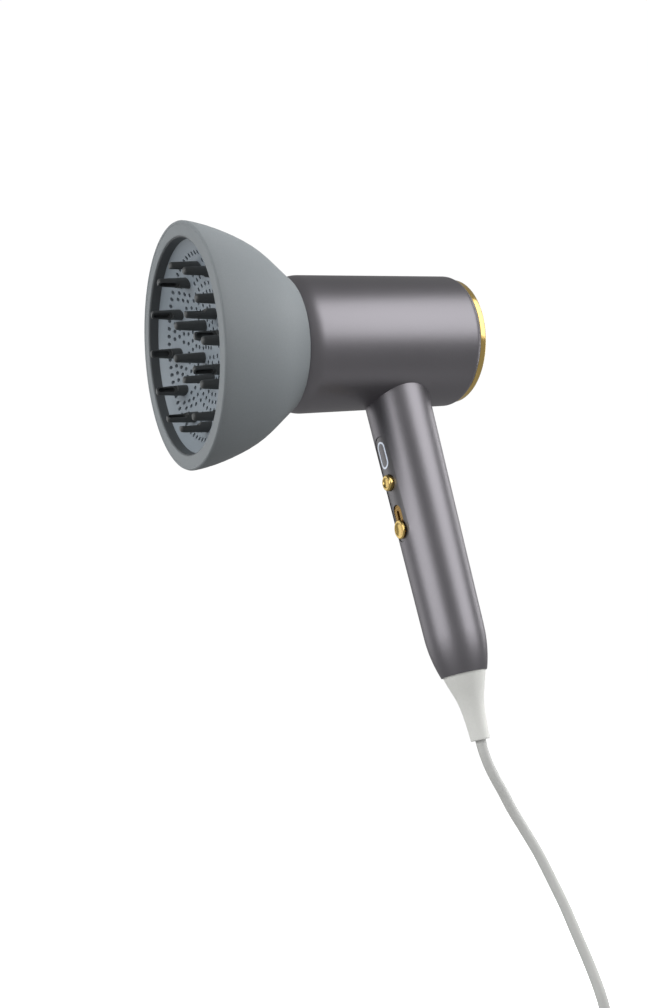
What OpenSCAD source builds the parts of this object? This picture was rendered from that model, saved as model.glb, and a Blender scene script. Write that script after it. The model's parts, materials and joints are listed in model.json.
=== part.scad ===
// Bathroom hair dryer with a finger diffuser. Millimetres, +Z up.
// The origin is the middle of the hand grip, on the handle's axis. The barrel lies along X,
// its outlet and the diffuser towards -X, its air inlet towards +X.

/* [Barrel] */
// Barrel outside radius, mm
barrel_r = 41; // [35:0.5:48]
// Barrel wall, mm
barrel_wall = 2.2; // [1.6:0.1:3]
// Height of the barrel's axis above the grip's middle, mm
axis_z = 130; // [110:1:150]
// Barrel rear edge, mm from the handle's axis
barrel_back = 46.4; // [40:0.2:60]
// Front end of the straight part of the barrel, mm from the handle's axis
barrel_front = 59; // [50:0.5:70]
// Outside radius of the outlet collar, mm
nose_r = 30; // [26:0.5:33]

/* [Rear cap] */
// Outside radius of the rear ring, mm
ring_r = 38.9; // [34:0.1:42]
// Axial width of the rear ring, mm
ring_w = 4.3; // [2:0.1:8]
// Pull-off travel of the rear cap, mm
cap_travel = 14; // [8:1:20]

/* [Handle] */
// Handle radius just below the barrel, mm
grip_r_top = 19.8; // [16:0.1:24]
// Handle radius near its lower end, mm
grip_r_low = 17.85; // [14:0.1:22]
// Handle wall, mm
grip_wall = 2.2; // [1.6:0.1:3]
// Lower end of the handle below the grip's middle, mm
grip_drop = 79; // [60:1:100]
// Strain relief length, mm
relief_len = 38; // [25:1:60]

/* [Controls] */
// Width of the control panel, mm
panel_w = 14.6; // [12:0.2:20]
// Height of the panel's lower end, mm
panel_lo = 2.7; // [0:0.1:10]
// Height of the panel's upper end, mm
panel_hi = 67.8; // [60:0.1:80]
// Height of the light ring's middle, mm
led_z = 56.4; // [45:0.1:62]
// Height of the round button's middle, mm
button_z = 39.1; // [30:0.1:45]
// Height of the slider knob's middle at rest, mm
knob_z = 10; // [6:0.1:16]
// Knob travel upwards, mm
knob_travel = 9; // [4:0.5:12]

/* [Diffuser] */
// Largest radius of the diffuser, mm
bowl_r = 70.2; // [55:0.1:80]
// Width of the rim's front face, mm
rim_w = 8.6; // [4:0.1:12]
// Rim plane, mm in front of the handle's axis
rim_x = 132; // [110:0.5:150]
// Depth of the perforated plate's middle behind the rim, mm
plate_deep = 20.8; // [12:0.2:26]
// Depth of the perforated plate's edge behind the rim, mm
plate_edge = 6.3; // [4:0.1:10]
// Diameter of the plate's holes, mm
hole_d = 2.4; // [1.2:0.1:2.6]
// Radius of the outer ring of fingers, mm
outer_pitch_r = 45.6; // [38:0.1:50]
// Fingers in the outer ring
outer_count = 12; // [8:1:16]
// Radius of the inner ring of fingers, mm
inner_pitch_r = 19.1; // [14:0.1:26]
// Fingers in the inner ring
inner_count = 6; // [4:1:8]
// Pull-off travel of the diffuser, mm
diffuser_travel = 16; // [8:1:24]

/* [Cord] */
// Cord diameter, mm
cord_d = 6; // [5:0.1:9]
// Coil radius at the middle of its turns, mm
coil_r = 33; // [30:0.5:40]
// Height of the surface that the coil lies on, mm
floor_z = -318; // [-360:1:-250]

/* [Hidden] */
$fn = 96;

bar_in = barrel_r - barrel_wall;
sh_r = 17;                      // front shoulder arc
sh_c = barrel_r - sh_r;
nose_x = -72;                   // front face of the barrel
tip_out = rim_x + 3.5;          // outer finger tips
tip_in = rim_x - 2;             // inner finger tips
relief_end = -grip_drop - relief_len;
outer_phase = -9;
inner_phase = 6.5;
coil_x = -15;
coil_y = 10;
coil_w = 3 * cord_d;
coil_h = 4 * cord_d;
plug_y = coil_y + coil_r + cord_d;
plug_z = floor_z + 13;

gunmetal = [0.40, 0.39, 0.42];
blue_grey = [0.44, 0.48, 0.50];
gold = [0.80, 0.62, 0.25];
bronze = [0.42, 0.30, 0.13];
black = [0.08, 0.08, 0.09];
steel = [0.62, 0.63, 0.65];
copper = [0.72, 0.42, 0.25];
mica = [0.72, 0.66, 0.52];
pale = [0.72, 0.73, 0.72];
white = [0.92, 0.93, 0.95];
green = [0.12, 0.33, 0.20];

function arc(cx, cy, r, a0, a1, n) = [for (i = [0:n]) let (a = a0 + (a1 - a0) * i / n)
    [cx + r * cos(a), cy + r * sin(a)]];
function flipx(p) = [for (v = p) [v[1], v[0]]];

// a revolve about the barrel's axis; points are [x, radius]
module turned(pts) translate([0, 0, axis_z]) rotate([0, 90, 0]) rotate_extrude() polygon(flipx(pts));
// a ring from x0 to x1 about the barrel's axis
module ring_x(x0, x1, ro, ri) turned([[x0, ri], [x1, ri], [x1, ro], [x0, ro]]);
module rod_x(x0, x1, r, y = 0, z = 0) translate([x0, y, axis_z + z]) rotate([0, 90, 0]) cylinder(h = x1 - x0, r = r);
// children around the barrel's axis, angle measured from +Y towards +Z
module around_x(a) translate([0, 0, axis_z]) rotate([a, 0, 0]) children();

// ---------- barrel ----------
module barrel_outer() turned(concat([[nose_x, 0]],
    arc(-barrel_front, sh_c, sh_r, 90 + asin((-nose_x - barrel_front) / sh_r), 90, 8),
    arc(42, 34.7, 6.3, 90, 90 - asin(4.4 / 6.3), 5), [[barrel_back, 0]]));

module barrel_shell() color(gunmetal) difference() {
    turned(concat([[nose_x, nose_r + 0.02]],
        arc(-barrel_front, sh_c, sh_r, 90 + asin((-nose_x - barrel_front) / sh_r), 90, 10),
        arc(42, 34.7, 6.3, 90, 90 - asin(4.4 / 6.3), 6),
        [[barrel_back, bar_in], [-barrel_front, bar_in]],
        arc(-barrel_front, sh_c, sh_r - barrel_wall, 90, 90 + 45, 8),
        [[nose_x + 2.4, 33], [nose_x + 2.4, nose_r + 0.02]]));
    // throat to the handle, with two screw holes beside it
    translate([0, 0, axis_z - barrel_r - 6]) cylinder(h = 20, r = 12);
    for (s = [-1, 1]) translate([s * 14.6, 0, axis_z - barrel_r - 6]) cylinder(h = 20, r = 1.3, $fn = 32);
}

module nose_collar() color(black) turned([[-79, 27.6], [-58, 27.6], [-58, nose_r - 0.4], [-67.2, nose_r - 0.4],
    [-67.2, 33], [nose_x + 2.4, 33], [nose_x + 2.4, nose_r], [-78.4, nose_r], [-79, nose_r - 0.6]]);

module front_magnet() color(steel) ring_x(-67.1, -63.5, 33, nose_r - 0.35);

module outlet_grille() color(black) union() {
    for (r = [6.5, 12.5, 18.5, 24.5]) ring_x(-77, -75, r + 0.7, r - 0.7);
    ring_x(-77, -74.6, 27.55, 26.2);
    rod_x(-77, -75, 2.2);
    for (a = [0:60:300]) around_x(a) translate([-77, 1.2, -0.7]) cube([2, 25.6, 1.4]);
}

module air_duct() color(mica) difference() {
    ring_x(-57.9, -6, 27.2, 26.2);
    for (s = [-1, 1]) rod_x(-12, -4, 1.1, s * 26.7, 0);
}

// crossed boards that carry the heating wire
module heater_boards() color(mica) difference() {
    union() {
        translate([-56, -26.1, axis_z - 0.4]) cube([44, 52.2, 0.8]);
        translate([-56, -0.4, axis_z + 0.4]) cube([44, 0.8, 25.6]);
        translate([-56, -0.4, axis_z - 26]) cube([44, 0.8, 25.6]);
    }
    for (i = [0:6]) for (r = [14, 21]) translate([-51 + i * 5.6, 0, axis_z]) rotate([0, 90, 0])
        rotate_extrude($fn = 48) translate([r, 0]) circle(r = 1.3, $fn = 16);
    translate([-20, 5, axis_z - 2]) cube([9, 8, 4]);
}

module heater_coils() color(copper) for (i = [0:6]) for (r = [14, 21]) translate([-51 + i * 5.6, 0, axis_z])
    rotate([0, 90, 0]) rotate_extrude($fn = 64) translate([r, 0]) circle(r = 1.1, $fn = 16);

module thermal_cutout() color(steel) {
    translate([-19.5, 5.4, axis_z - 1.6]) cube([8, 7.2, 3.2]);
}

module ion_module() color(black) union() {
    translate([-30, -33, axis_z + 5]) cube([22, 4.4, 11]);
    translate([-50, -30.8, axis_z + 10.5]) rotate([0, 90, 0]) cylinder(h = 21, r = 1.1, $fn = 32);
}

// ---------- motor ----------
module motor_housing() color(steel) union() {
    turned([[-4, 25.6], [30, 25.6], [33.6, 28], [33, 29], [30, 26.9], [-4, 26.9]]);
    // stator hub with a pocket for the windings and a bearing seat at each end
    turned([[-3, 3.52], [0, 3.52], [0, 9.5], [14, 9.5], [14, 3.52], [17, 3.52], [17, 11], [14, 12],
        [0, 12], [-3, 10.5]]);
    for (i = [0:8]) around_x(i * 40) translate([0, 11, 0])
        translate([-1.5, 0, -0.6]) cube([13, 15.2, 1.2]);
}

module motor_mounts() color(black) for (x = [-3, 20]) difference() {
    ring_x(x, x + 5, bar_in - 0.02, 26.95);
    // air stays inside the housing; the rubber is notched for the wiring
    translate([x - 1, -9, axis_z - barrel_r]) cube([7, 18, 16]);
    for (a = [30:60:330]) around_x(a) translate([x - 1, 33, 0]) rotate([0, 90, 0]) cylinder(h = 8, r = 3.2, $fn = 32);
}

module motor_windings() color(copper) for (i = [0:2]) around_x(i * 120 + 20)
    translate([1, 5.6, -2]) cube([12, 3, 4]);

module bearings() color(steel) for (x = [-3, 14]) ring_x(x, x + 3, 3.5, 1.55);

module rotor_shaft() color(steel) rod_x(-4.5, 34, 1.5);

module rotor_magnet() color(steel) ring_x(1.5, 12.5, 4.6, 1.5);

// the impeller's hub is a cap with blades
module impeller() color(black) union() {
    turned([[18, 1.5], [18, 11], [27, 11.2], [31, 9], [33.5, 5], [34.2, 0], [34, 0], [34, 1.5]]);
    for (i = [0:10]) around_x(i * 360 / 11) translate([18.6, 10.4, 0])
        multmatrix([[1, 0, 0.75, 0], [0, 1, 0, 0], [0, 0, 1, 0], [0, 0, 0, 1]])
        translate([0.8, 0, -0.1]) rotate([-38, 0, 0]) translate([0, 0, -0.45]) cube([9, 13.2, 0.9]);
}

// ---------- handle ----------
function grip_r(z) = z > -53 ? grip_r_low + (grip_r_top - grip_r_low) * (z + 53) / 128
    : grip_r_low - 4.35 * pow((-53 - z) / 26, 2);
grip_line = [for (z = [-grip_drop, -77.4, -75.8, -74.2, -72.6, -71, -69.2, -67.4, -65.4, -63.2, -60.6, -57.4, -53, 0, 50, 110])
    [grip_r(z), z]];

module grip_solid(off = 0) rotate_extrude() polygon(concat([[0, -grip_drop]],
    [for (p = grip_line) [p[0] - off, p[1]]], [[0, 110]]));

// a stadium standing upright, cut along X
module pill_x(w, z0, z1, x0, x1) translate([x0, 0, 0]) rotate([90, 0, 90]) linear_extrude(height = x1 - x0)
    union() {
        translate([0, z0 + w / 2]) circle(d = w, $fn = 64);
        translate([0, z1 - w / 2]) circle(d = w, $fn = 64);
        translate([-w / 2, z0 + w / 2]) square([w, z1 - z0 - w]);
    }

module handle_shell() color(gunmetal) difference() {
    rotate_extrude() polygon(concat([for (p = grip_line) p],
        [for (z = [110, 0, -53, -60, -66, -70, -74]) [grip_r(z) - grip_wall, z]], [[9.6, -76.8], [9.6, -grip_drop]]));
    // seat on the barrel
    translate([-60, 0, axis_z]) rotate([0, 90, 0]) cylinder(h = 120, r = barrel_r + 0.02);
    pill_x(panel_w + 0.4, panel_lo - 0.2, panel_hi + 0.2, -30, -8);
}

// the panel lies a little below the grip's surface
panel_in = 0.4;
module control_panel() color(gunmetal) difference() {
    intersection() {
        difference() { grip_solid(panel_in); grip_solid(grip_wall); }
        pill_x(panel_w, panel_lo, panel_hi, -30, -8);
    }
    pill_x(8.2, led_z - 8.55, led_z + 8.55, -30, -8);
    translate([-30, 0, button_z]) rotate([0, 90, 0]) cylinder(h = 22, r = 5.15);
    pill_x(8.6, knob_z - 5.4, knob_z + knob_travel + 6, -30, -8);
}

module led_ring() color(white) difference() {
    intersection() {
        grip_solid(panel_in - 0.05);
        pill_x(8, led_z - 8.45, led_z + 8.45, -30, -16.2);
    }
    pill_x(6.1, led_z - 7.4, led_z + 7.4, -31, -8);
}

module mode_button() color(gunmetal) union() {
    intersection() {
        grip_solid(panel_in + 0.15);
        pill_x(5.8, led_z - 7.25, led_z + 7.25, -30, -16.4);
    }
    translate([-16.4, 0, led_z]) rotate([0, 90, 0]) cylinder(h = 1.6, r = 1.6, $fn = 32);
}

module cool_button() color(gold) translate([0, 0, button_z]) rotate([0, -90, 0]) rotate_extrude()
    polygon([[0, 15.1], [1.6, 15.1], [1.6, 16.6], [4.85, 16.6], [4.85, 20.6], [4.6, 21.2], [4.1, 21.5],
        [3.5, 21.4], [2.6, 21.1], [1.3, 20.95], [0, 20.9]]);

// small round return springs behind the two buttons, drawn as their outer sleeves
module button_springs() color(steel) for (z = [led_z, button_z]) translate([-13.5, 0, z]) rotate([0, 90, 0])
    difference() { cylinder(h = 0.9, r = 2.2, $fn = 32); translate([0, 0, -1]) cylinder(h = 4, r = 1.2, $fn = 32); }

// a shallow ridged tray with a slot for the knob's stem
module slider_track() color(bronze) difference() {
    union() {
        pill_x(8.4, knob_z - 5.3, knob_z + knob_travel + 5.9, -17.7, -16.8);
        intersection() {
            for (i = [0:14]) translate([-17.95, -4, knob_z - 4.6 + i * 1.4]) cube([0.4, 8, 0.7]);
            pill_x(8, knob_z - 5.1, knob_z + knob_travel + 5.7, -19, -16);
        }
    }
    pill_x(2.6, knob_z - 2.6, knob_z + knob_travel + 2.6, -30, -8);
}

module slider_knob() color(gold) union() {
    translate([0, 0, knob_z]) rotate([0, -90, 0]) rotate_extrude()
        polygon([[0, 18.9], [5.2, 18.9], [5.6, 19.15], [5.7, 19.5], [5.5, 19.95], [5.1, 20.15], [4.6, 20.15],
            [4.1, 19.95], [3.4, 19.6], [2.2, 19.45], [0, 19.4]]);
    translate([-18.9, -0.9, knob_z - 1.6]) cube([2.9, 1.8, 3.2]);
}

// the strip under the tray moves with the knob and keeps the slot closed
module slider_strip() color(bronze) union() {
    translate([-16, -2.1, knob_z - knob_travel - 2.8]) cube([0.6, 4.2, 2 * knob_travel + 5.6]);
    translate([-15.4, -1.2, knob_z - 1.6]) cube([1.4, 2.4, 3.2]);
}

module switch_block() color(black) difference() {
    translate([-14.6, -5, knob_z - 8]) cube([4, 10, 26]);
    translate([-15.6, -1.5, knob_z - 2.1]) cube([3, 3, 3.6 + knob_travel + 1]);
}

module control_board() color(green) union() {
    translate([-10.6, -8, -2]) cube([1.6, 16, 70]);
    for (z = [led_z, button_z]) translate([-12.6, -3, z - 3]) cube([2, 6, 6]);
}

module power_board() color(green) union() {
    translate([2, -10, -40]) cube([1.6, 20, 96]);
    translate([3.6, -7, -30]) cube([7, 14, 18]);
    translate([3.6, -5, -6]) cube([6, 10, 14]);
    translate([3.6, -8, 20]) cube([5, 16, 10]);
}

// the chassis carries both boards and is screwed up into the barrel
module chassis() color(black) difference() {
    union() {
        translate([-8.9, 8.6, -48]) cube([16, 2, 128]);
        translate([-8.9, -10.6, -48]) cube([16, 2, 128]);
        translate([0, 0, -51]) cylinder(h = 3, r = 15);
        translate([0, 0, 80]) cylinder(h = 3, r = 16.9);
    }
    translate([-10.7, -8.1, -3]) cube([1.9, 16.2, 72]);
    translate([1.9, -10.1, -41]) cube([1.8, 20.2, 98]);
    translate([0, 0, -60]) cylinder(h = 20, r = 5);
    translate([0, 0, 70]) cylinder(h = 20, r = 7);
    for (s = [-1, 1]) translate([s * 14.6, 0, 70]) cylinder(h = 20, r = 1.3, $fn = 32);
}

module chassis_screws() color(steel) for (s = [-1, 1]) translate([s * 14.6, 0, 0]) {
    translate([0, 0, 78]) cylinder(h = 2, r = 2.1, $fn = 32);
    translate([0, 0, 80]) cylinder(h = 16, r = 1.28, $fn = 32);
}

// leads between the boards, the motor and the heater
module motor_leads() color([0.55, 0.12, 0.10]) for (y = [-3, 0, 3]) {
    translate([-1, y, 57]) cylinder(h = 38, r = 0.9, $fn = 24);
}

module mains_leads() color([0.20, 0.30, 0.60]) for (s = [-1, 1])
    translate([0, s * 2, -68.9]) cylinder(h = 27.9, r = 1.2, $fn = 24);

module cord_clamp() color(black) difference() {
    translate([-9, -6, -64]) cube([18, 12, 5]);
    for (s = [-1, 1]) {
        translate([0, s * 2, -70]) cylinder(h = 20, r = 1.3, $fn = 32);
        translate([s * 6.5, 0, -70]) cylinder(h = 20, r = 1.02, $fn = 32);
    }
}

module clamp_screws() color(steel) for (s = [-1, 1]) translate([s * 6.5, 0, 0]) {
    translate([0, 0, -66]) cylinder(h = 2, r = 1.9, $fn = 32);
    translate([0, 0, -64]) cylinder(h = 13, r = 1, $fn = 32);
}

// ---------- rear cap ----------
module rear_ring() color(gold) turned(concat([[barrel_back + 0.25, 34.2], [barrel_back + 0.25, ring_r - 0.3]],
    [[barrel_back + 0.6, ring_r]], arc(barrel_back + ring_w - 0.9, ring_r - 1.1, 1.1, 90, 0, 4),
    [[barrel_back + ring_w + 0.2, 36.2], [barrel_back + ring_w - 0.6, 35], [barrel_back + ring_w - 1, 34.2]]));

module rear_grille() color(black) union() {
    ring_x(34, barrel_back + 0.25, bar_in - 0.3, 36.7);
    ring_x(barrel_back + 0.25, barrel_back + 3, 34.18, 31.5);
    ring_x(barrel_back - 1.7, barrel_back + 0.25, 36.7, 31.5);
    for (r = [5, 10, 15, 20, 25, 29.6]) ring_x(barrel_back + 0.6, barrel_back + 2.6, r + 0.7, r - 0.7);
    rod_x(barrel_back + 0.6, barrel_back + 3, 2.6);
    for (a = [0:30:330]) around_x(a) translate([barrel_back + 0.6, 1.4, -0.6]) cube([2, 30.6, 1.2]);
}

module filter_mesh() color(steel) difference() {
    union() {
        ring_x(barrel_back - 3, barrel_back - 1.75, 36.6, 33.8);
        rod_x(barrel_back - 2.7, barrel_back - 2.1, 34);
    }
    for (x = [-5:5]) for (y = [-5:5]) if (x * x + y * y < 29)
        translate([barrel_back - 4, x * 5.6, axis_z + y * 5.6]) rotate([0, 90, 0]) cylinder(h = 4, r = 1.9, $fn = 32);
}

module cap_magnets() color(steel) for (a = [45:90:315]) around_x(a) translate([34.6, 35.2, 0])
    rotate([0, 90, 0]) cylinder(h = 5, r = 1.4, $fn = 32);

// ---------- diffuser ----------
bowl_line = [[-132, 69.3], [-131.6, 69.8], [-130.8, 70.15], [-129.6, 70.1], [-127, 69.75], [-124, 69.2],
    [-119, 68.1], [-114, 66.7], [-109, 65.05], [-104, 63.2], [-99, 61.1], [-94, 58.6], [-90, 56.2], [-86, 53.4],
    [-82, 50.3], [-78, 47.1], [-74, 43.95], [-71.5, 42.05], [-69.8, 40.85], [-69.2, 40.2]];
ledge_x = -rim_x + plate_edge + 2.85;   // the plate's edge rests against this ledge

module diffuser_bowl() color(blue_grey) turned(concat(bowl_line,
    [[-69.2, 38.2], [-73.6, 38.6], [-74, 36.52], [-76.2, 36.52], [-76.6, 42], [-78, 44], [-82, 47.2], [-86, 50.3],
     [-90, 53.1], [-94, 55.5], [-99, 58], [-104, 59.6], [ledge_x, 59.2], [ledge_x, 60.6],
     [-rim_x + plate_edge - 0.02, 60.6], [-rim_x + plate_edge - 0.02, bowl_r - rim_w], [-rim_x + 0.9, bowl_r - rim_w], [-rim_x + 0.5, bowl_r - rim_w + 0.15], [-rim_x + 0.2, bowl_r - rim_w + 0.6],
     [-rim_x + 0.2, 68], [-rim_x, 68.2]]));

// dark lining between the rim and the plate
module mouth_liner() color(black) turned([[-rim_x + plate_edge - 0.05, 60.5], [-rim_x + plate_edge - 0.05, bowl_r - rim_w - 0.02],
    [-rim_x + 1, bowl_r - rim_w - 0.02], [-rim_x + 1, bowl_r - rim_w - 0.45], [-rim_x + 1.4, bowl_r - rim_w - 0.6]]);

module diffuser_collar() color(black) ring_x(-79, -72.8, 36.5, 33.66);

// the plate is dished: its front face at radius r
function dish(r) = -rim_x + plate_deep - (plate_deep - plate_edge) * pow(r / 60.5, 2.9);
dish_r = [0.01, 4.4, 8.3, 12.3, 16.2, 20.8, 25.4, 29.6, 34, 38.5, 42.7, 46.7, 50.9, 55.6, 58.3, 60.5];
module behind_plate(t) turned(concat([for (r = dish_r) [dish(r), r]],
    [for (i = [len(dish_r) - 1:-1:0]) [dish(dish_r[i]) + t, dish_r[i]]]));

// rings of holes: radius, how many groups, holes in a group, angle between them, angle of the first group's middle
holes = [[6.3, 6, 1, 0, 20], [10.4, 6, 2, 26, 36.5], [14.3, 6, 2, 22, 36.5], [18.2, 6, 3, 13, 36.5],
    [23.4, 6, 3, 11, 36.5], [27.4, 30, 1, 0, 3], [31.8, 38, 1, 0, 4], [36.3, 40, 1, 0, 2],
    [40.8, 12, 3, 7, 7], [44.7, 12, 2, 6, 7], [48.7, 12, 3, 5.4, 7], [53.1, 70, 1, 0, 2]];
module diffuser_plate() color(blue_grey) difference() {
    behind_plate(1.8);
    for (q = holes) for (i = [0:q[1] - 1]) for (j = [0:q[2] - 1])
        around_x(q[4] + i * 360 / q[1] + (j - (q[2] - 1) / 2) * q[3]) translate([dish(q[0]) - 3, q[0], 0])
            rotate([0, 90, 0]) cylinder(h = 7, d = hole_d, $fn = 24);
}

// one finger: a tapered peg with a flat milled on one side (s 1 faces outwards) and a slot in the flat
module finger(tip, s) difference() {
    rotate([0, -90, 0]) rotate_extrude($fn = 48) polygon(concat([[0, tip - 25], [3.75, tip - 25], [3.3, tip - 18], [3.05, tip - 12]],
        arc(1.05, tip - 1.35, 1.35, 0, 90, 5), [[0, tip]]));
    translate([-tip - 1, s > 0 ? 1.25 : -6.25, -4]) cube([11.2, 5, 8]);
    translate([-tip + 10.1, s > 0 ? 1.25 : -6.25, 0]) rotate([-90, 0, 0]) cylinder(h = 5, r = 2.9, $fn = 48);
    translate([-tip + 2.6, s > 0 ? -1.3 : -5, -1.55]) cube([7.5, 6.3, 3.1]);
    for (x = [2.6, 10.1]) translate([-tip + x, s > 0 ? -1.3 : -5, 0]) rotate([-90, 0, 0]) cylinder(h = 6.3, r = 1.55, $fn = 32);
}

module outer_fingers() color(blue_grey) difference() {
    for (i = [0:outer_count - 1])
        around_x(outer_phase + i * 360 / outer_count) translate([0, outer_pitch_r, 0]) finger(tip_out, -1);
    translate([-0.03, 0, 0]) behind_plate(16);
}

module inner_fingers() color(blue_grey) difference() {
    for (i = [0:inner_count - 1])
        around_x(inner_phase + i * 360 / inner_count) translate([0, inner_pitch_r, 0]) finger(tip_in, 1);
    translate([-0.03, 0, 0]) behind_plate(16);
}

// ring that snaps on the outlet; the diffuser turns on it
module coupling_ring() color(steel) turned([[-81, 30.3], [-72.4, 30.3], [-72.4, 33.6], [-79.3, 33.6],
    [-79.3, 35.4], [-81, 35.4]]);
module coupling_magnets() color(steel) for (a = [0:60:300]) around_x(a) translate([-82.4, 32.8, 0])
    rotate([0, 90, 0]) cylinder(h = 1.4, r = 1.8, $fn = 32);

// ---------- cord ----------
module strain_relief() color(pale) rotate_extrude() polygon([[0, -grip_drop + 10], [7, -grip_drop + 10],
    [7, -grip_drop + 6.5], [9.5, -grip_drop + 2.2], [9.5, -grip_drop], [12.4, -grip_drop], [12.2, -80.4], [11.2, -83.5],
    [10, -87], [8.8, -90.5], [7.8, -94], [7, -98], [6.4, -102.5], [6, -107], [5.7, -112], [5.5, relief_end + 0.5],
    [5.1, relief_end], [0, relief_end]]);

// the hanging stretch, from the strain relief to the coil
hang = [[0, 0, -117], [0, 0, -122], [1, 0, -130], [3, 0, -138], [6, 0, -147], [9, 0, -157], [13, -1, -169],
    [17, -3, -183], [20, -5, -198], [22, -8, -213], [23, -11, -228], [24, -14, -243], [24, -17, -257],
    [24, -17, -269], [24, -13, -281], [24, -5, -291], [24, 4, -296], [24, 10, -297]];
// from the coil to the plug
tail = [[-15, 49, -315], [-24, 49, -315], [-32, 49, -313], [-40, 49, -309], [-48, 49, -306], [-56, 49, -305]];

function unit(v) = v / norm(v);
function dir_at(p, i) = unit(p[min(i + 1, len(p) - 1)] - p[max(i - 1, 0)]);
function side_at(d) = unit(cross(d, abs(d[1]) > 0.9 ? [1, 0, 0] : [0, 1, 0]));
function carry(p, i) = i == 0 ? side_at(dir_at(p, 0)) : let (d = dir_at(p, i), u = carry(p, i - 1)) unit(u - d * (u * d));
function ring_pts(p, i, r, n) = let (d = dir_at(p, i), u = carry(p, i), w = cross(d, u))
    [for (k = [0:n - 1]) p[i] + r * (cos(360 * k / n) * u + sin(360 * k / n) * w)];
module swept(p, r, n = 12) polyhedron(
    points = [for (i = [0:len(p) - 1]) each ring_pts(p, i, r, n)],
    faces = concat([[for (k = [0:n - 1]) n - 1 - k]],
        [for (i = [0:len(p) - 2]) for (k = [0:n - 1])
            each [[i * n + k, i * n + (k + 1) % n, (i + 1) * n + (k + 1) % n],
                  [i * n + k, (i + 1) * n + (k + 1) % n, (i + 1) * n + k]]],
        [[for (k = [0:n - 1]) (len(p) - 1) * n + k]]), convexity = 4);

module power_cord() color(pale) swept(hang, cord_d / 2);
module cord_tail() color(pale) swept(tail, cord_d / 2);
module cord_coil() color(pale) translate([coil_x, coil_y, floor_z]) rotate_extrude()
    translate([coil_r - coil_w / 2, 0]) polygon([[2, 0], [coil_w - 2, 0], [coil_w, 2], [coil_w, coil_h - 2],
        [coil_w - 2, coil_h], [2, coil_h], [0, coil_h - 2], [0, 2]]);
module cord_tie() color(black) translate([coil_x, coil_y, floor_z]) rotate([0, 0, 200]) translate([coil_r, 0, coil_h / 2])
    difference() {
        translate([-coil_w / 2 - 1, -6, -coil_h / 2]) cube([coil_w + 2, 12, coil_h + 1]);
        translate([-coil_w / 2 - 0.02, -7, -coil_h / 2 - 1]) cube([coil_w + 0.04, 14, coil_h + 1.02]);
    }

module plug_relief() color(pale) translate([-56, plug_y, plug_z]) rotate([0, -90, 0])
    rotate_extrude() polygon([[0, 0], [4.6, 0], [5.2, 1], [6.6, 12], [8, 20], [8, 22], [0, 22]]);
module plug_body() color(pale) intersection() {
    translate([-78, plug_y, plug_z]) rotate([0, -90, 0]) rotate_extrude()
        polygon([[0, 0], [11, 0], [13.5, 2], [15.6, 8], [16.6, 16], [17, 24], [17.65, 26], [17.65, 34], [16.9, 35], [0, 35]]);
    translate([-120, plug_y - 20, floor_z]) cube([60, 40, 26]);
}
module plug_pins() color(steel) for (s = [-1, 1]) translate([-113, plug_y + s * 9.5, plug_z]) rotate([0, -90, 0])
    rotate_extrude($fn = 48) polygon([[0, 0], [2.4, 0], [2.4, 18], [1.6, 19], [0, 19]]);

barrel_shell();
nose_collar();
front_magnet();
outlet_grille();
air_duct();
heater_boards();
heater_coils();
thermal_cutout();
ion_module();
motor_housing();
motor_mounts();
motor_windings();
bearings();
rotor_shaft();
impeller();
rotor_magnet();
handle_shell();
control_panel();
led_ring();
mode_button();
cool_button();
button_springs();
slider_track();
slider_knob();
slider_strip();
switch_block();
control_board();
power_board();
chassis();
chassis_screws();
motor_leads();
mains_leads();
cord_clamp();
clamp_screws();
rear_ring();
rear_grille();
filter_mesh();
cap_magnets();
coupling_ring();
coupling_magnets();
diffuser_bowl();
mouth_liner();
diffuser_collar();
diffuser_plate();
outer_fingers();
inner_fingers();
strain_relief();
power_cord();
cord_coil();
cord_tie();
cord_tail();
plug_relief();
plug_body();
plug_pins();
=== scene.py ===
import json
import math

import bmesh
import bpy
from mathutils import Matrix, Vector

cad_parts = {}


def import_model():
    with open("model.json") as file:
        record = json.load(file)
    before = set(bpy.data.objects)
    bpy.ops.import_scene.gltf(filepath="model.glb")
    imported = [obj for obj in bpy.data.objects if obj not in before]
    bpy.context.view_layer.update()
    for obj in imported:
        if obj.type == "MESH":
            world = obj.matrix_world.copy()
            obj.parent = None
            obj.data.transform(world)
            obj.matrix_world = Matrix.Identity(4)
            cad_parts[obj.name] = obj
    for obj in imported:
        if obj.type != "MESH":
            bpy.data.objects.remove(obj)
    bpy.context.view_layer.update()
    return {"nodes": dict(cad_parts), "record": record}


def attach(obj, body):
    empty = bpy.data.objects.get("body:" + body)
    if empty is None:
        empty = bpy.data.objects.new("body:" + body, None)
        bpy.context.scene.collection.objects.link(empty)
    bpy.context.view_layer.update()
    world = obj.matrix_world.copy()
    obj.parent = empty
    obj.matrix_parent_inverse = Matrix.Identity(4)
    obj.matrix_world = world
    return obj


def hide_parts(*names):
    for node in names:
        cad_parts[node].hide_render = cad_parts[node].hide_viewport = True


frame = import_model()
NODES = frame["nodes"]
MM = 0.001


# ------------------------------------------------------------------ camera
CAMERA_AT = (-0.32712, -0.52125, -0.11697)
CAMERA_TURN = (-26.75, -14.13, -12.53)       # azimuth, elevation and roll, degrees
SENSOR = 36.0                                # mm
FOCAL_BY_HEIGHT = 1049.92 / 1008             # focal length over the picture's height


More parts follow.
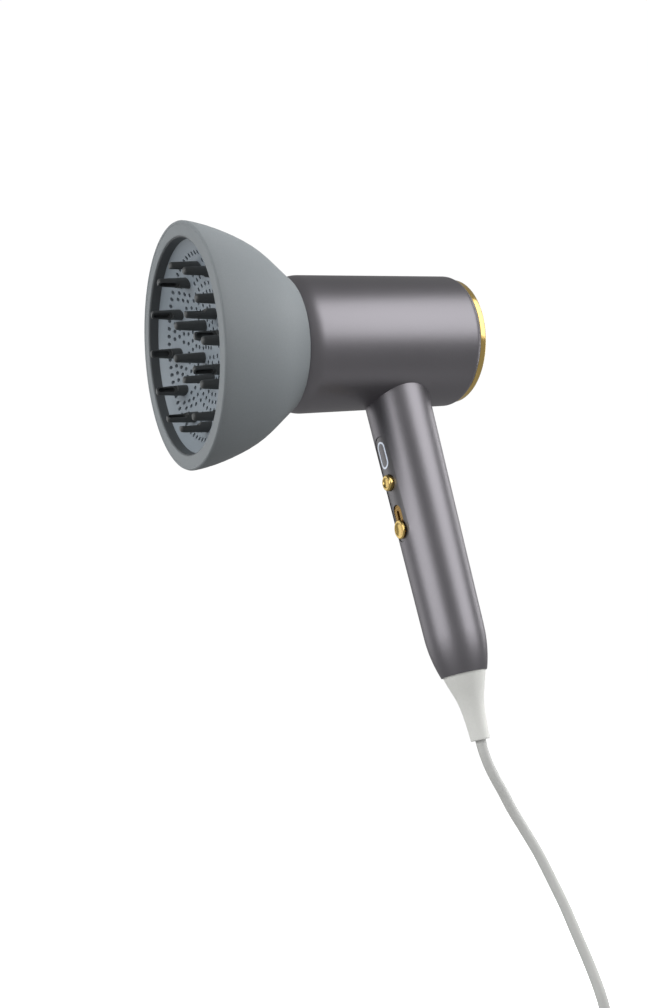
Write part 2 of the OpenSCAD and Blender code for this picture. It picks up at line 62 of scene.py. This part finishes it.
def camera():
    az, el, roll = (math.radians(a) for a in CAMERA_TURN)
    back = Vector((math.sin(az) * math.cos(el), -math.cos(az) * math.cos(el), math.sin(el)))
    right = Vector((math.cos(az), math.sin(az), 0))
    up = back.cross(right)
    x = math.cos(roll) * right + math.sin(roll) * up
    y = -math.sin(roll) * right + math.cos(roll) * up
    m = Matrix((x, y, back)).transposed().to_4x4()
    m.translation = Vector(CAMERA_AT)
    data = bpy.data.cameras.new("camera")
    data.sensor_width = SENSOR
    data.lens = SENSOR * FOCAL_BY_HEIGHT
    data.clip_start, data.clip_end = 0.01, 50
    cam = bpy.data.objects.new("camera", data)
    cam.matrix_world = m
    bpy.context.scene.collection.objects.link(cam)
    bpy.context.scene.camera = cam


camera()


# ------------------------------------------------------------------ helpers
def obj(name, mesh_or_curve, body=None, mat=None):
    o = bpy.data.objects.new(name, mesh_or_curve)
    bpy.context.scene.collection.objects.link(o)
    if mat is not None:
        o.data.materials.append(mat)
    if body:
        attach(o, body)
    return o


def smooth(me, angle=35):
    for p in me.polygons:
        p.use_smooth = True
    bm = bmesh.new()
    bm.from_mesh(me)
    lim = math.radians(angle)
    for e in bm.edges:
        e.smooth = not (len(e.link_faces) == 2 and e.calc_face_angle(0) > lim)
    bm.to_mesh(me)
    bm.free()


def resample(points, step):
    """a smooth curve through the points, as points about step apart"""
    p = [Vector(v) for v in points]
    out = []
    n = len(p)
    for i in range(n - 1):
        p0 = p[i - 1] if i else p[0] * 2 - p[1]
        p1, p2 = p[i], p[i + 1]
        p3 = p[i + 2] if i + 2 < n else p[-1] * 2 - p[-2]
        k = max(1, round((p2 - p1).length / step))
        for j in range(k):
            t = j / k
            bend = (2 * p0 - 5 * p1 + 4 * p2 - p3) * t * t
            twist = (3 * p1 - p0 - 3 * p2 + p3) * t ** 3
            out.append(0.5 * ((2 * p1) + (p2 - p0) * t + bend + twist))
    out.append(p[-1])
    return out


def tube(path, r, n=20):
    """(verts, faces) of a closed round tube along a path"""
    verts, faces = [], []
    u = None
    for i, c in enumerate(path):
        d = (path[min(i + 1, len(path) - 1)] - path[max(i - 1, 0)]).normalized()
        if u is None:
            u = d.orthogonal().normalized()
        u = (u - d * u.dot(d)).normalized()
        w = d.cross(u)
        for k in range(n):
            a = 2 * math.pi * k / n
            verts.append(c + r * (math.cos(a) * u + math.sin(a) * w))
    for i in range(len(path) - 1):
        for k in range(n):
            a, b = i * n + k, i * n + (k + 1) % n
            faces.append((a, b, b + n, a + n))
    faces.append(tuple(reversed(range(n))))
    faces.append(tuple(range((len(path) - 1) * n, len(path) * n)))
    return verts, faces


def mesh(name, verts, faces, angle=35):
    me = bpy.data.meshes.new(name)
    me.from_pydata([tuple(v) for v in verts], [], faces)
    me.validate()
    me.update()
    smooth(me, angle)
    return me


# ------------------------------------------------------------------ cord
# the hanging stretch and the tail, in millimetres
HANG = [(0, 0, -117), (0, 0, -122), (1, 0, -130), (3, 0, -138), (6, 0, -147), (9, 0, -157),
        (13, -1, -169), (17, -3, -183), (20, -5, -198), (22, -8, -213), (23, -11, -228),
        (24, -14, -243), (24, -17, -257), (24, -17, -269), (24, -13, -281), (24, -5, -291),
        (24, 4, -296), (24, 10, -297)]
TAIL = [(-15, 49, -315), (-24, 49, -315), (-32, 49, -313), (-40, 49, -309), (-48, 49, -306),
        (-56, 49, -305)]
CC = (-15, 10)                   # middle of the coil
CORD_D = 6.0
COIL_TOP = -297                  # height of the top turns
COIL_FOOT = -315                 # height of the lowest turns, which lie on the surface
# radius and layer of each turn, from the top outer one to the bottom outer one
COIL_TURNS = [(39, 0), (33, 0), (27, 0), (27, 1), (33, 1), (39, 1),
              (39, 2), (33, 2), (27, 2), (27, 3), (33, 3), (39, 3)]
PER_TURN = 24                    # points in a turn
CROSS_OVER = 0.72                # part of a turn after which the cord moves to the next one


def coil_points():
    """eleven and a quarter turns"""
    pts = []
    last = len(COIL_TURNS) - 1
    for i in range(1, int(11.25 * PER_TURN)):
        a = i / PER_TURN
        k = min(int(a), last)
        t = a - k
        s = 0.0 if t < CROSS_OVER else (t - CROSS_OVER) / (1 - CROSS_OVER)
        s = s * s * (3 - 2 * s)
        r0, l0 = COIL_TURNS[k]
        r1, l1 = COIL_TURNS[min(k + 1, last)]
        r = r0 + (r1 - r0) * s
        z = COIL_TOP - CORD_D * (l0 + (l1 - l0) * s)
        ang = 2 * math.pi * a
        pts.append((CC[0] + r * math.cos(ang), CC[1] + r * math.sin(ang), z))
    return pts


route = [Vector(p) * MM for p in HANG + coil_points() + TAIL]
path = resample(route, 0.0035)
for point in path:
    point.z = max(point.z, COIL_FOOT * MM)
v, f = tube(path, CORD_D / 2 * MM, 20)
cord = obj("power_cord_whole", mesh("power_cord_whole", v, f), "dryer")
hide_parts("power_cord", "cord_coil", "cord_tail")


# ------------------------------------------------------------------ materials
BLOTCH = 25.0                    # scale of the soft blotches in colour and roughness


def material(name, color, rough, metallic=0.0, spec=0.5, coat=0.0, coat_rough=0.1,
             grain=(900.0, 0.05), tint=0.04, rough_var=0.08, bump=(2500.0, 0.00002),
             emission=None, sheen=0.0):
    """a Principled material: colour with soft blotches and fine grain, varied roughness, a bump

    grain is a scale and an amount, bump a scale and a depth in metres, emission a colour and
    a strength.
    """
    m = bpy.data.materials.new(name)
    m.use_nodes = True
    nt = m.node_tree
    n, k = nt.nodes, nt.links
    b = n["Principled BSDF"]
    b.inputs["Metallic"].default_value = metallic
    b.inputs["Specular IOR Level"].default_value = spec
    b.inputs["Coat Weight"].default_value = coat
    b.inputs["Coat Roughness"].default_value = coat_rough
    b.inputs["Sheen Weight"].default_value = sheen
    if emission:
        b.inputs["Emission Color"].default_value = (*emission[0], 1)
        b.inputs["Emission Strength"].default_value = emission[1]
    tc = n.new("ShaderNodeTexCoord")
    fine = n.new("ShaderNodeTexNoise")
    fine.inputs["Scale"].default_value = grain[0]
    fine.inputs["Detail"].default_value = 2.0
    soft = n.new("ShaderNodeTexNoise")
    soft.inputs["Scale"].default_value = BLOTCH
    soft.inputs["Detail"].default_value = 3.0
    k.new(tc.outputs["Object"], fine.inputs["Vector"])
    k.new(tc.outputs["Object"], soft.inputs["Vector"])
    base = n.new("ShaderNodeMix")
    base.data_type = "RGBA"
    lo = [c * (1 - tint) for c in color]
    hi = [min(1.0, c * (1 + tint)) for c in color]
    base.inputs["A"].default_value = (*lo, 1)
    base.inputs["B"].default_value = (*hi, 1)
    k.new(soft.outputs["Fac"], base.inputs["Factor"])
    grained = n.new("ShaderNodeMix")
    grained.data_type = "RGBA"
    grained.blend_type = "MULTIPLY"
    grained.inputs["Factor"].default_value = 1.0
    g = n.new("ShaderNodeMapRange")
    g.inputs["To Min"].default_value = 1 - grain[1]
    g.inputs["To Max"].default_value = 1 + grain[1]
    k.new(fine.outputs["Fac"], g.inputs["Value"])
    k.new(base.outputs["Result"], grained.inputs["A"])
    k.new(g.outputs["Result"], grained.inputs["B"])
    k.new(grained.outputs["Result"], b.inputs["Base Color"])
    r = n.new("ShaderNodeMapRange")
    r.inputs["To Min"].default_value = max(0.02, rough - rough_var)
    r.inputs["To Max"].default_value = min(1.0, rough + rough_var)
    k.new(soft.outputs["Fac"], r.inputs["Value"])
    k.new(r.outputs["Result"], b.inputs["Roughness"])
    if bump[1]:
        t = n.new("ShaderNodeTexNoise")
        t.inputs["Scale"].default_value = bump[0]
        t.inputs["Detail"].default_value = 3.0
        k.new(tc.outputs["Object"], t.inputs["Vector"])
        bp = n.new("ShaderNodeBump")
        bp.inputs["Distance"].default_value = bump[1]
        bp.inputs["Strength"].default_value = 1.0
        k.new(t.outputs["Fac"], bp.inputs["Height"])
        k.new(bp.outputs["Normal"], b.inputs["Normal"])
    return m


def woven(name, color):
    """hook-and-loop strap: a fine square weave"""
    m = material(name, color, 0.85, spec=0.2, sheen=0.4, bump=(0, 0))
    nt = m.node_tree
    n, k = nt.nodes, nt.links
    tc = n.new("ShaderNodeTexCoord")
    waves = []
    for axis in ("X", "Z"):
        w = n.new("ShaderNodeTexWave")
        w.bands_direction = axis
        w.inputs["Scale"].default_value = 420.0
        k.new(tc.outputs["Object"], w.inputs["Vector"])
        waves.append(w)
    mx = n.new("ShaderNodeMath")
    mx.operation = "MAXIMUM"
    k.new(waves[0].outputs["Fac"], mx.inputs[0])
    k.new(waves[1].outputs["Fac"], mx.inputs[1])
    bp = n.new("ShaderNodeBump")
    bp.inputs["Distance"].default_value = 0.00025
    k.new(mx.outputs["Value"], bp.inputs["Height"])
    k.new(bp.outputs["Normal"], n["Principled BSDF"].inputs["Normal"])
    return m


MAT = {
    "gunmetal": material("gunmetal", (0.262, 0.252, 0.272), 0.40, 1.0, grain=(6000.0, 0.10),
                         rough_var=0.03),
    "panel": material("panel", (0.235, 0.23, 0.24), 0.40, 1.0, grain=(6000.0, 0.10),
                      rough_var=0.03),
    "diffuser_plastic": material("diffuser_plastic", (0.212, 0.232, 0.244), 0.55, spec=0.4,
                                 bump=(3500.0, 0.00003)),
    # the liner's dark colour is partly its own dark grey and partly painted shade of the recess
    # inside the diffuser's rim
    "liner_plastic": material("liner_plastic", (0.075, 0.082, 0.087), 0.45, bump=(3500.0, 0.00002)),
    "plate_plastic": material("plate_plastic", (0.232, 0.27, 0.305), 0.42, spec=0.5,
                              bump=(3500.0, 0.00002)),
    "finger_plastic": material("finger_plastic", (0.055, 0.059, 0.060), 0.42, spec=0.5,
                               bump=(3500.0, 0.00002)),
    "gold": material("gold", (0.86, 0.62, 0.22), 0.16, 1.0, grain=(3000.0, 0.04), rough_var=0.04),
    "track_gold": material("track_gold", (0.42, 0.26, 0.08), 0.34, 1.0, grain=(3000.0, 0.12)),
    "black_plastic": material("black_plastic", (0.022, 0.022, 0.025), 0.45),
    "steel": material("steel", (0.56, 0.57, 0.59), 0.30, 1.0, grain=(1500.0, 0.10)),
    "aluminium": material("aluminium", (0.66, 0.67, 0.69), 0.38, 1.0),
    "copper": material("copper", (0.70, 0.33, 0.16), 0.30, 1.0),
    "mica": material("mica", (0.48, 0.38, 0.24), 0.50, grain=(700.0, 0.25), tint=0.18, coat=0.3,
                     coat_rough=0.3),
    "rubber": material("rubber", (0.025, 0.025, 0.026), 0.75, spec=0.3, bump=(1800.0, 0.00004)),
    "relief_rubber": material("relief_rubber", (0.74, 0.745, 0.715), 0.48, spec=0.4,
                              bump=(2200.0, 0.00002)),
    "cord": material("cord", (0.55, 0.555, 0.54), 0.45, spec=0.4, bump=(1500.0, 0.00002)),
    "lead_red": material("lead_red", (0.45, 0.04, 0.03), 0.35),
    "lead_blue": material("lead_blue", (0.04, 0.10, 0.40), 0.35),
    "light": material("light", (0.72, 0.77, 0.84), 0.22, coat=0.6,
                      emission=((0.75, 0.84, 1.0), 0.35), bump=(0, 0)),
    "board": material("board", (0.02, 0.14, 0.06), 0.30, grain=(1200.0, 0.30), coat=0.5),
    "tie": woven("tie", (0.03, 0.03, 0.034)),
    "plug": material("plug", (0.60, 0.605, 0.59), 0.50, spec=0.4, bump=(1500.0, 0.00004)),
    "pin": material("pin", (0.72, 0.71, 0.69), 0.14, 1.0, grain=(2000.0, 0.04)),
}
SLOT = {r["node"]: r["material_slot"] for r in frame["record"]["subparts"]}
for name, o in NODES.items():
    o.data.materials.clear()
    o.data.materials.append(MAT[SLOT[name]])
cord.data.materials.append(MAT["cord"])


# ------------------------------------------------------------------ pieces finer than their solids
SHOWN = dict(NODES)              # the piece that stands for each node
BODY = {n: b for b, ns in frame["record"]["behaviour"]["bodies"].items() for n in ns}


def refined(node, angle=24):
    """the node's own shape, welded and shaded smooth across its narrow bands"""
    src = NODES[node].data
    me = bpy.data.meshes.new(node + "_skin")
    me.from_pydata([tuple(v.co) for v in src.vertices], [],
                   [tuple(p.vertices) for p in src.polygons])
    bm = bmesh.new()
    bm.from_mesh(me)
    bmesh.ops.remove_doubles(bm, verts=bm.verts, dist=2e-6)
    bmesh.ops.dissolve_degenerate(bm, edges=bm.edges, dist=1e-6)
    bm.to_mesh(me)
    bm.free()
    smooth(me, angle)
    o = obj(node + "_skin", me, BODY[node], MAT[SLOT[node]])
    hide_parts(node)
    return o


for name in ("barrel_shell", "handle_shell", "control_panel", "diffuser_bowl", "strain_relief",
             "rear_ring", "plug_body", "plug_relief", "mode_button", "led_ring"):
    SHOWN[name] = refined(name)


# the six faces of a box whose corners come in the order of x, then y, then z
BOX_FACES = ((0, 1, 3, 2), (4, 6, 7, 5), (0, 4, 5, 1), (2, 3, 7, 6), (0, 2, 6, 4), (1, 5, 7, 3))


def spun(name, node, profile, z, box=None, n=96):
    """a turned key on the handle, about -X at height z, with a box for its stem

    profile is a list of (distance from the handle's axis, radius), in millimetres.
    """
    pts = resample([(a, r, 0) for a, r in profile], 0.12)
    verts, faces = [], []
    for k in range(n):
        t = 2 * math.pi * k / n
        for p in pts:
            verts.append((-p.x * MM, p.y * math.cos(t) * MM, (z + p.y * math.sin(t)) * MM))
    m = len(pts)
    for k in range(n):
        j = (k + 1) % n
        for i in range(m - 1):
            faces.append((k * m + i, k * m + i + 1, j * m + i + 1, j * m + i))
    if box:
        i0 = len(verts)
        (x0, y0, z0), (x1, y1, z1) = box
        verts += [(x * MM, y * MM, w * MM) for x in (x0, x1) for y in (y0, y1) for w in (z0, z1)]
        faces += [tuple(i0 + q for q in f) for f in BOX_FACES]
    me = mesh(name, verts, faces, 50)
    bm = bmesh.new()
    bm.from_mesh(me)
    bmesh.ops.remove_doubles(bm, verts=bm.verts, dist=1e-6)
    bmesh.ops.recalc_face_normals(bm, faces=bm.faces)
    bm.to_mesh(me)
    bm.free()
    o = obj(name, me, BODY[node], MAT[SLOT[node]])
    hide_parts(node)
    return o


KNOB_Z = 10                      # heights of the two keys on the handle, mm
BUTTON_Z = 39.1
spun("slider_knob_turned", "slider_knob",
     [(19.15, 0.001), (19.2, 1.0), (19.34, 2.0), (19.6, 3.0), (19.88, 3.7), (20.08, 4.2),
      (20.15, 4.7), (20.05, 5.15), (19.8, 5.5), (19.45, 5.68), (19.15, 5.62), (18.95, 5.35),
      (18.9, 4.9), (18.9, 2.5), (18.9, 0.001)],
     KNOB_Z, box=((-18.9, -0.9, KNOB_Z - 1.6), (-16.0, 0.9, KNOB_Z + 1.6)))
spun("cool_button_turned", "cool_button",
     [(20.55, 0.001), (20.6, 0.9), (20.76, 1.8), (21.05, 2.6), (21.35, 3.1), (21.48, 3.6),
      (21.4, 4.1), (21.12, 4.5), (20.7, 4.76), (20.1, 4.84), (18.5, 4.85), (16.65, 4.85),
      (16.6, 4.6), (16.6, 1.62), (15.3, 1.6), (15.1, 1.4), (15.1, 0.001)], BUTTON_Z)


# ------------------------------------------------------------------ the strap round the coil
STRAP_WAY = 200                  # where it goes round the coil, degrees
STRAP_R = 33                     # the middle of the turns there, mm
STRAP_W, STRAP_T = 12.0, 0.8     # width and thickness of the band, mm
LAP_W, LAP_T = 11.6, 0.7         # of the free end laid over it
LAP_OUT = 0.85                   # the free end lies this far outside the band
# a section across the band: parts of its thickness and width, with soft outer edges
BAND_EDGE = ((-0.5, -0.5), (0.1, -0.5), (0.5, -0.42), (0.5, 0.42), (0.1, 0.5), (-0.5, 0.5))


def strap():
    """a woven strap round the coil's turns at one side, its free end laid over the top"""
    way = math.radians(STRAP_WAY)
    out = Vector((math.cos(way), math.sin(way), 0))
    side = Vector((-math.sin(way), math.cos(way), 0))
    mid = Vector((CC[0], CC[1], 0)) + out * STRAP_R
    half, top, foot, corner = 9.55, -293.55, -317.55, 3.0

    def loop(grow, n=8):
        """the loop's rounded outline, as (out, height)"""
        z0, z_half = (top + foot) / 2, (top - foot) / 2
        pts = []
        for cx, cz, a0 in ((1, 1, 0), (-1, 1, 90), (-1, -1, 180), (1, -1, 270)):
            for i in range(n + 1):
                a = math.radians(a0 + 90 * i / n)
                pts.append((cx * (half - corner) + (corner + grow) * math.cos(a),
                            z0 + cz * (z_half - corner) + (corner + grow) * math.sin(a)))
        return pts

    def band(points, thick, width, closed):
        """a band of cloth along points of (out, height), as verts and faces"""
        n = len(points)
        verts, faces = [], []
        for i, (r, z) in enumerate(points):
            a = points[i - 1] if i or closed else points[0]
            b = points[(i + 1) % n] if i < n - 1 or closed else points[-1]
            d = Vector((b[0] - a[0], b[1] - a[1])).normalized()
            nr, nz = d.y, -d.x
            for t, w in BAND_EDGE:
                p = mid + out * (r + nr * t * thick) + side * (w * width)
                verts.append((p.x * MM, p.y * MM, (z + nz * t * thick) * MM))
        e = len(BAND_EDGE)
        for i in range(n if closed else n - 1):
            j = (i + 1) % n
            for k in range(e):
                q = (k + 1) % e
                faces.append((i * e + k, i * e + q, j * e + q, j * e + k))
        if not closed:
            faces.append(tuple(range(e)))
            faces.append(tuple(range((n - 1) * e, n * e))[::-1])
        return verts, faces

    verts, faces = band(loop(0.0), STRAP_T, STRAP_W, True)
    lap = [(half + LAP_OUT, top - 10), (half + LAP_OUT, top - 6)]
    lap += [p for p in loop(LAP_OUT) if p[1] > top - 5 and p[0] > -7]
    v2, f2 = band(lap, LAP_T, LAP_W, False)
    faces += [tuple(len(verts) + i for i in q) for q in f2]
    me = mesh("cord_strap", verts + v2, faces, 40)
    bm = bmesh.new()
    bm.from_mesh(me)
    bmesh.ops.recalc_face_normals(bm, faces=bm.faces)
    bm.to_mesh(me)
    bm.free()
    o = obj("cord_strap", me, "dryer", MAT["tie"])
    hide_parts("cord_tie")
    return o


SHOWN["cord_tie"] = strap()


# ------------------------------------------------------------------ lights, floor, world
def light(name, loc, target, width, height, radiance):
    """a flat rectangular light that faces its target"""
    d = bpy.data.lights.new(name, "AREA")
    d.shape = "RECTANGLE"
    d.size = width
    d.size_y = height
    d.energy = radiance * math.pi * width * height
    o = bpy.data.objects.new(name, d)
    o.location = loc
    o.rotation_euler = (Vector(target) - Vector(loc)).to_track_quat("-Z", "Y").to_euler()
    bpy.context.scene.collection.objects.link(o)
    return o


def studio():
    z, far = FLOOR_Z, 30
    me = mesh("floor", [(-far, -far, z), (far, -far, z), (far, far, z), (-far, far, z)],
              [(0, 1, 2, 3)], 80)
    m = bpy.data.materials.new("floor")
    m.use_nodes = True
    b = m.node_tree.nodes["Principled BSDF"]
    b.inputs["Base Color"].default_value = (0.9, 0.9, 0.9, 1)
    b.inputs["Roughness"].default_value = 0.9
    b.inputs["Emission Color"].default_value = (1, 1, 1, 1)
    b.inputs["Emission Strength"].default_value = 0.9
    o = obj("floor", me, mat=m)
    o.visible_glossy = False
    o.visible_diffuse = False
    w = bpy.data.worlds.new("studio")
    bpy.context.scene.world = w
    w.use_nodes = True
    n, k = w.node_tree.nodes, w.node_tree.links
    bg = n["Background"]
    bg.inputs["Color"].default_value = (1, 1, 1, 1)
    lp = n.new("ShaderNodeLightPath")
    dark = n.new("ShaderNodeMix")           # the dryer sees a dim room, the camera a white one
    dark.inputs["A"].default_value = ROOM
    dark.inputs["B"].default_value = ROOM_SHINE
    k.new(lp.outputs["Is Glossy Ray"], dark.inputs["Factor"])
    cam = n.new("ShaderNodeMix")
    k.new(lp.outputs["Is Camera Ray"], cam.inputs["Factor"])
    k.new(dark.outputs["Result"], cam.inputs["A"])
    cam.inputs["B"].default_value = BACKDROP
    k.new(cam.outputs["Result"], bg.inputs["Strength"])
    for name, way, dist, width, height, radiance, shine in LIGHTS:
        spot = Vector(way).normalized() * dist + Vector(AIM)
        light(name, spot, AIM, width, height, radiance).visible_glossy = shine


FLOOR_Z = -0.3182                # just under the cord
ROOM = 0.30                      # how bright the room is
ROOM_SHINE = 0.29                # the same, in reflections
BACKDROP = 1.02                  # the same, behind the dryer
AIM = (-0.03, 0, 0.06)           # what the lights face
# name, direction from the dryer, distance, width, height, radiance, seen in reflections
LIGHTS = [
    ("right_box", (0.548, -0.836, 0.31), 1.5, 1.36, 1.60, 1.95, True),
    ("left_box", (-0.96, -0.28, 0.24), 1.5, 1.50, 1.25, 1.85, True),
    ("back_box", (-0.45, 0.87, 0.24), 1.5, 1.0, 1.2, 0.65, True),
    ("rim_box", (0.98, 0.16, 0.22), 1.5, 0.5, 1.0, 2.1, True),
    ("under_box", (0.44, -0.12, -0.89), 1.5, 0.6, 0.4, 0.3, True),
    ("side_box", (0.95, -0.20, 0.30), 1.6, 0.9, 0.9, 7.0, False),
    ("top_box", (0.35, 0.10, 1.0), 1.5, 1.1, 1.1, 3.0, False),
    ("low_box", (0.55, -0.45, -0.75), 1.5, 0.8, 0.8, 7.0, False),
    ("front_fill", (-0.9, 0.05, 0.5), 1.5, 0.8, 0.8, 2.9, False),
]
studio()
bpy.context.scene.view_settings.view_transform = "Standard"
